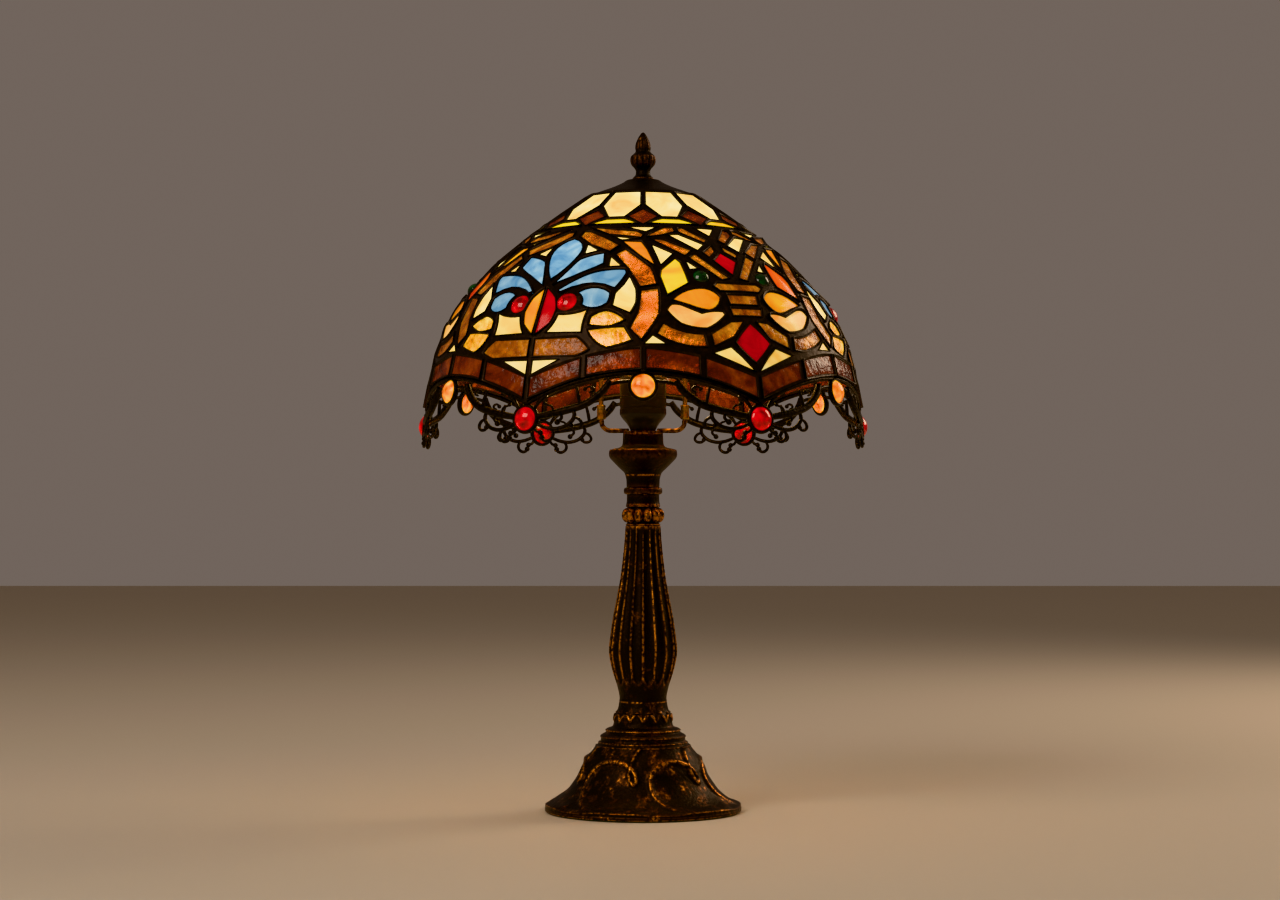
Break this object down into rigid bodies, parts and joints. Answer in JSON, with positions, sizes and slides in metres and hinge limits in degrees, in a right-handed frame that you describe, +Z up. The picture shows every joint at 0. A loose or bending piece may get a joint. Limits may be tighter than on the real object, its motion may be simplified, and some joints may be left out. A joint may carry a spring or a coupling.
{
  "type": "stained glass table lamp",
  "caption": "Table lamp with a scalloped leaded glass dome and jewelled openwork skirt, on a harp and socket over a fluted bronze column and round base.",
  "frame": {"origin": "centre of the felt pad's underside, on the table", "axes": "+Z up along the stem; -Y is the front, +X is right as seen from the front; the harp stands in the XZ plane and the cord bushing points to +Y"},
  "size_m": [0.317, 0.3116, 0.4796],
  "materials": {
    "bronze": "antique bronze paint, rubbed to gold on the high spots",
    "skirt_metal": "dark patinated casting",
    "came": "soldered came with a dark patina",
    "brass": "plain brass",
    "glass_ivory": "opalescent art glass",
    "glass_ripple": "brown ripple glass",
    "glass_yellow": "yellow art glass",
    "glass_blue": "pale blue opalescent glass",
    "glass_orange": "orange art glass",
    "glass_red": "red cathedral glass",
    "glass_peach": "peach opalescent glass",
    "jewel_red": "moulded red glass cabochon",
    "jewel_green": "moulded dark green glass cabochon",
    "jewel_amber": "moulded amber glass cabochon",
    "socket_black": "black moulded phenolic",
    "porcelain": "glazed porcelain",
    "bulb_envelope": "frosted bulb glass",
    "steel": "plated steel",
    "wire_sleeve": "brown plastic sleeve",
    "felt": "pressed wool felt"
  },
  "bodies": {
    "stand": {"harp": "brass", "harp_stud": "brass", "harp_saddle": "brass", "socket_cap": "socket_black", "socket_shell": "socket_black", "socket_core": "porcelain", "socket_screw_shell": "brass", "socket_contact": "brass", "terminal_screws": "brass", "lead_wires": "wire_sleeve", "threaded_tube": "brass", "tube_nut": "steel", "tube_washer": "steel", "drip_collar": "bronze", "neck": "bronze", "bead_ring": "bronze", "column": "bronze", "base": "bronze", "cord_bushing": "socket_black", "cover_plate": "steel", "felt_pad": "felt"},
    "washer": {"cap_washer": "brass"},
    "shade": {"shade_cap": "bronze", "crown_ring": "brass", "crown_hexagons": "glass_ivory", "crown_diamonds": "glass_ripple", "crown_yellow_panes": "glass_yellow", "crown_came": "came", "fan_petals": "glass_blue", "fan_leaves_orange": "glass_orange", "fan_leaves_red": "glass_red", "fan_jewels": "jewel_red", "fan_grounds": "glass_ivory", "fan_side_leaves": "glass_ripple", "ribbons": "glass_ripple", "cross_diamonds": "glass_red", "cross_jewels": "jewel_green", "cross_flames": "glass_yellow", "cross_petals_orange": "glass_orange", "cross_petals_peach": "glass_peach", "cross_bars": "glass_ripple", "cross_grounds": "glass_ivory", "amber_wedges": "glass_orange", "border_panes": "glass_ripple", "came_front_left": "came", "came_right": "came", "came_rear_left": "came", "filigree_skirt": "skirt_metal", "arch_bezels": "skirt_metal", "point_jewels": "jewel_red", "arch_jewels": "jewel_amber"},
    "finial": {"finial": "bronze"},
    "bulb": {"bulb_glass": "bulb_envelope", "bulb_base": "steel", "bulb_insulator": "socket_black", "bulb_contact": "steel"},
    "left_ferrule": {"ferrule_left": "brass"},
    "right_ferrule": {"ferrule_right": "brass"}
  },
  "joints": [
    {"name": "shade_lift", "type": "slide", "parent": "stand", "child": "washer", "axis": [0, 0, 1], "range_m": [0, 0.19]},
    {"name": "shade_turn", "type": "hinge", "parent": "washer", "child": "shade", "pos_m": [0, 0, 0.44], "axis": [0, 0, 1], "continuous": true},
    {"name": "finial_unscrew", "type": "slide", "parent": "shade", "child": "finial", "axis": [0, 0, 1], "range_m": [0, 0.012]},
    {"name": "bulb_unscrew", "type": "slide", "parent": "stand", "child": "bulb", "axis": [0, 0, 1], "range_m": [0, 0.03]},
    {"name": "left_ferrule_slide", "type": "slide", "parent": "stand", "child": "left_ferrule", "axis": [0, 0, 1], "range_m": [0, 0.01]},
    {"name": "right_ferrule_slide", "type": "slide", "parent": "stand", "child": "right_ferrule", "axis": [0, 0, 1], "range_m": [0, 0.01]}
  ]
}
